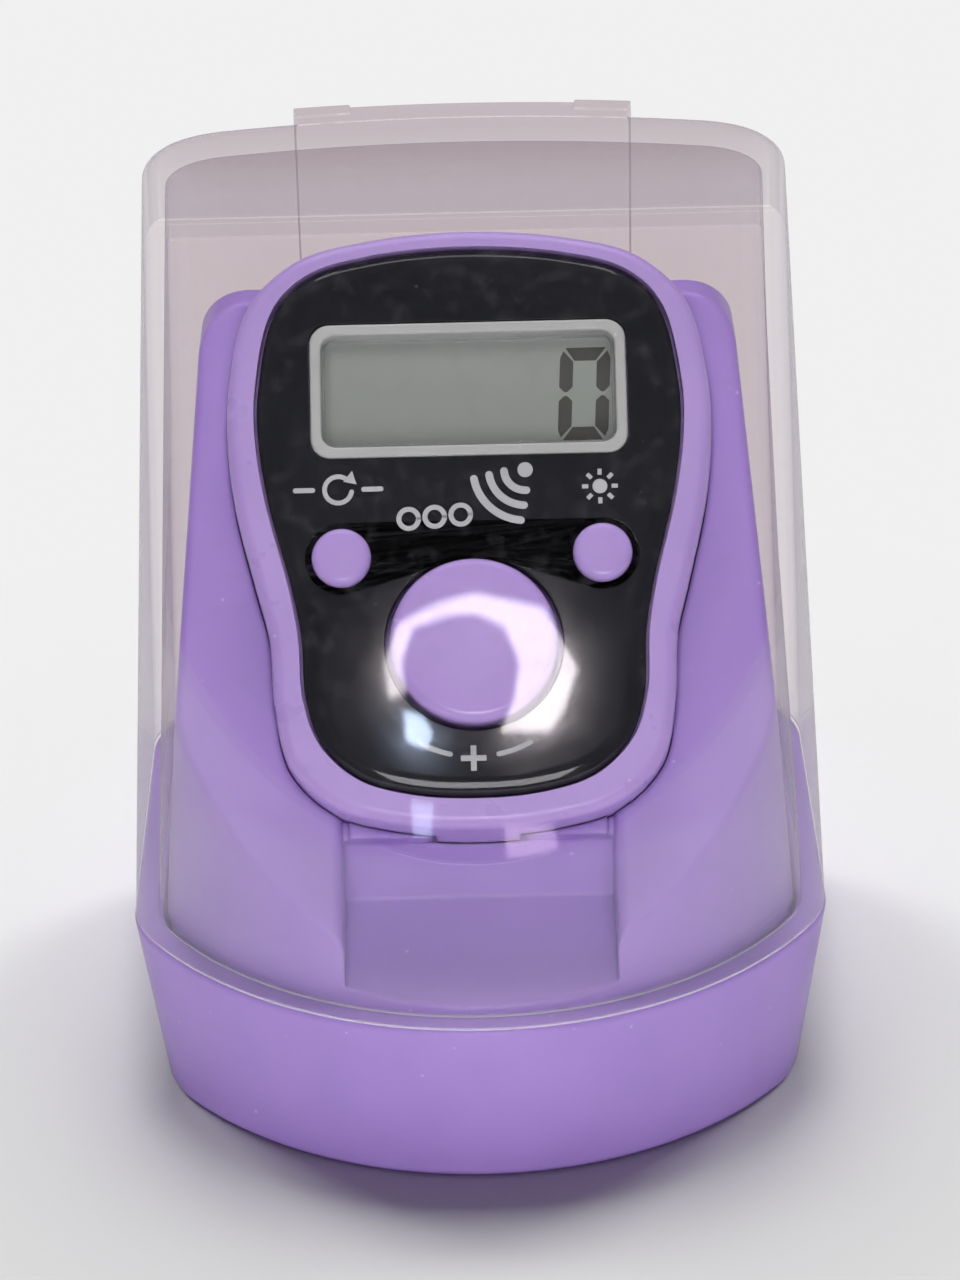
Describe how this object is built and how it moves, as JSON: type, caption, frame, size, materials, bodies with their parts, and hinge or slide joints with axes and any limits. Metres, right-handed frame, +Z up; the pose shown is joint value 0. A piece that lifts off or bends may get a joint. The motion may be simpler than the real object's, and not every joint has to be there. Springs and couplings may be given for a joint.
{
  "type": "digital prayer counter",
  "caption": "Digital prayer counter with a finger strap, lying in the sloping tray of a round-fronted display case under a lift-off clear cover.",
  "frame": {"origin": "middle of the bounding box's base, on the surface the case stands on", "axes": "+Z up, the case's front and the counter's face towards -Y, +X to the right seen from the front"},
  "size_m": [0.0484, 0.0492, 0.0593],
  "materials": {
    "lilac": "smooth moulded, soft gloss",
    "pale_lilac": "smooth moulded, glossy",
    "clear": "clear moulded styrene, polished",
    "gloss_black": "high gloss",
    "silver": "bright satin",
    "lens": "clear, polished",
    "display": "grey-green display glass",
    "milky": "milky, smooth",
    "black_rubber": "matte",
    "black_resin": "satin resin blob",
    "board": "green lacquer",
    "steel": "bright",
    "brass": "bright",
    "silicone": "soft matte silicone"
  },
  "bodies": {
    "case": {"base_cup": "lilac", "tray": "lilac"},
    "cover": {"clear_cover": "clear"},
    "counter": {"housing_front": "pale_lilac", "housing_back": "pale_lilac", "screw_top_left": "steel", "screw_top_right": "steel", "screw_low_left": "steel", "screw_low_right": "steel", "face_panel": "gloss_black", "window_frame": "silver", "display_lens": "lens", "lcd_glass": "display", "light_guide": "milky", "backlight_lamp": "milky", "contact_strip": "black_rubber", "circuit_board": "board", "chip": "black_resin", "count_switch": "steel", "reset_switch": "steel", "light_switch": "steel", "sounder": "brass", "button_cell": "steel", "cell_contact_top": "brass", "cell_contact_side": "brass", "finger_strap": "silicone"},
    "count_key": {"count_button": "pale_lilac"},
    "reset_key": {"reset_button": "pale_lilac"},
    "light_key": {"light_button": "pale_lilac"},
    "cell_lid": {"battery_door": "pale_lilac"}
  },
  "joints": [
    {"name": "cover_lift", "type": "slide", "parent": "case", "child": "cover", "axis": [0, 0, 1], "range_m": [0, 0.12]},
    {"name": "counter_lift", "type": "slide", "parent": "case", "child": "counter", "axis": [0, -0.7716, 0.6361], "range_m": [0, 0.025]},
    {"name": "count_press", "type": "slide", "parent": "counter", "child": "count_key", "axis": [0, 0.7716, -0.6361], "range_m": [0, 0.0006], "stiffness_N_per_m": 500, "springref_m": -0.0006},
    {"name": "reset_press", "type": "slide", "parent": "counter", "child": "reset_key", "axis": [0, 0.7716, -0.6361], "range_m": [0, 0.0006], "stiffness_N_per_m": 400, "springref_m": -0.0006},
    {"name": "light_press", "type": "slide", "parent": "counter", "child": "light_key", "axis": [0, 0.7716, -0.6361], "range_m": [0, 0.0006], "stiffness_N_per_m": 400, "springref_m": -0.0006},
    {"name": "cell_lid_turn", "type": "hinge", "parent": "counter", "child": "cell_lid", "pos_m": [0, -0.00147, 0.02659], "axis": [0, -0.7716, 0.6361], "range_deg": [0, 50]}
  ],
  "couplings": [
    {"joint": "counter_lift", "follows": "cover_lift", "ratio": 0.20833}
  ]
}
